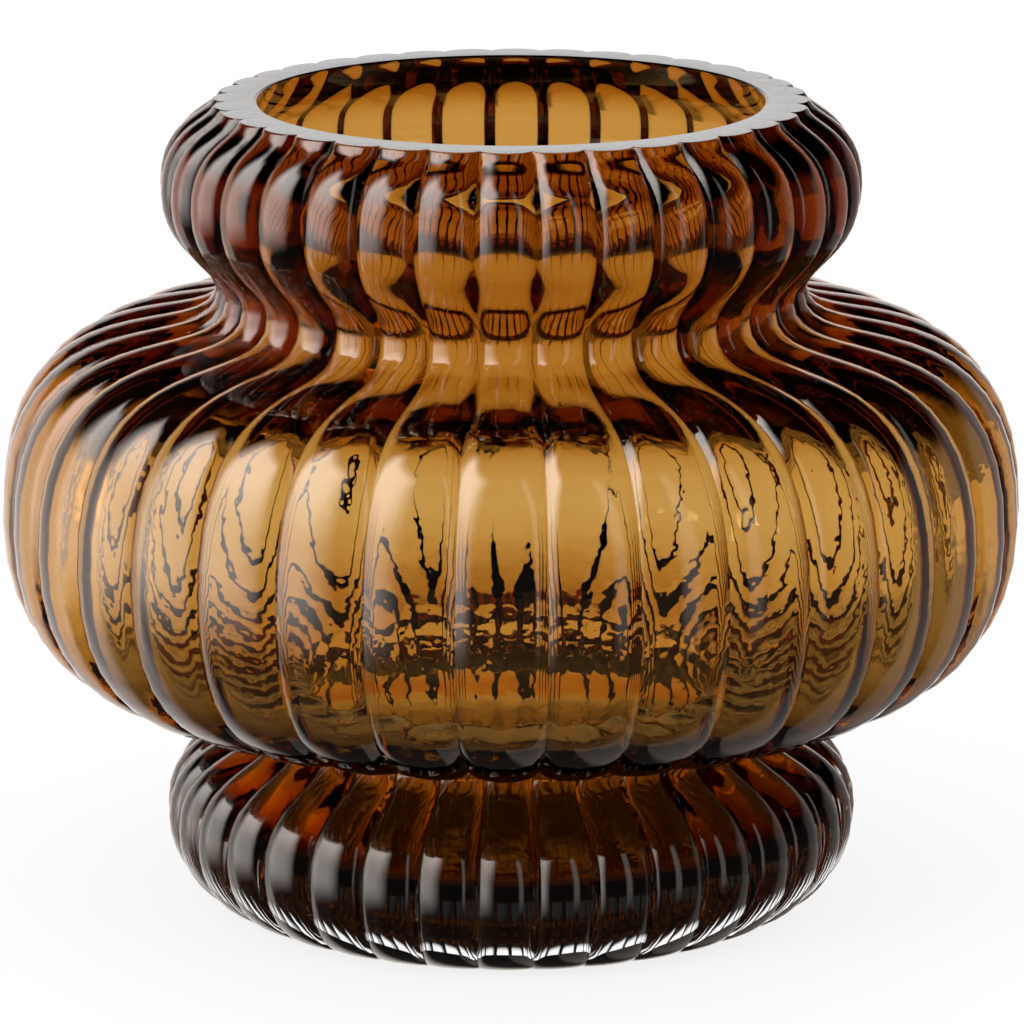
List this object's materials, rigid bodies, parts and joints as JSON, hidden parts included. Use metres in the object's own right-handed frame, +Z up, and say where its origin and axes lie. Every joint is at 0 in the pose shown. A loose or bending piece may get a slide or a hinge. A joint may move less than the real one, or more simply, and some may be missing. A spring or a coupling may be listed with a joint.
{
  "type": "glass vase",
  "caption": "Low, wide ribbed glass vase: an amber lining cased in clear glass, with a bulging collar, a broad belly and a heavy clear foot. Holds flowers or branches.",
  "frame": {"origin": "centre of the flat base, on the surface that the vase stands on", "axes": "+Z up the axis of the vase, -Y towards the pictured front"},
  "size_m": [0.26, 0.26, 0.207],
  "materials": {
    "clear_glass": "fire-polished clear glass, ground and polished at the rim and base",
    "amber_glass": "fire-polished amber glass"
  },
  "bodies": {
    "root": {"clear_casing": "clear_glass", "amber_lining": "amber_glass"}
  },
  "joints": []
}
